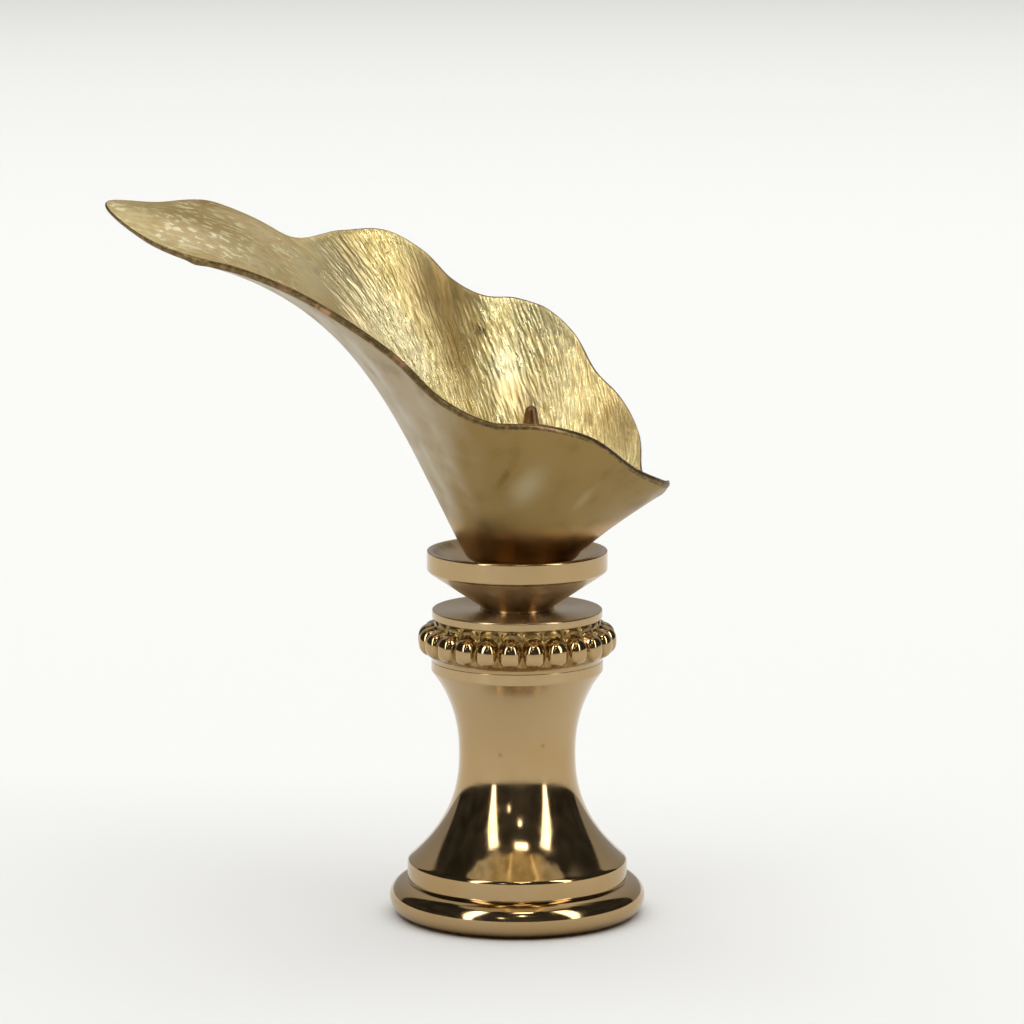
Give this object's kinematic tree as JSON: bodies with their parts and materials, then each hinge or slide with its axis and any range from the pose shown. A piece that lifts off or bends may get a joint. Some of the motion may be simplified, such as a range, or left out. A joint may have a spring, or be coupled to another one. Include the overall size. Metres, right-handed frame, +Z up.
{
  "type": "brass lily finial",
  "caption": "Small brass finial: a turned, waisted base with a beaded collar and a dished neck carries an open calla lily bloom of textured sheet brass.",
  "frame": {"origin": "centre of the foot's flat underside, on the turning axis, in the mouth of the post socket", "axes": "+Z up along the turning axis from the foot to the bloom; -X towards the tip of the bloom's long lip; -Y towards the viewer of the picture"},
  "size_m": [0.0486, 0.0257, 0.0621],
  "materials": {
    "polished_brass": "polished and slightly worn",
    "textured_brass": "bark-like relief inside, satin outside with light patina",
    "coppery_brass": "darkened, coppery"
  },
  "bodies": {
    "root": {"beaded_base": "polished_brass", "saucer_neck": "polished_brass", "lily_bloom": "textured_brass", "spadix": "coppery_brass"}
  },
  "joints": []
}
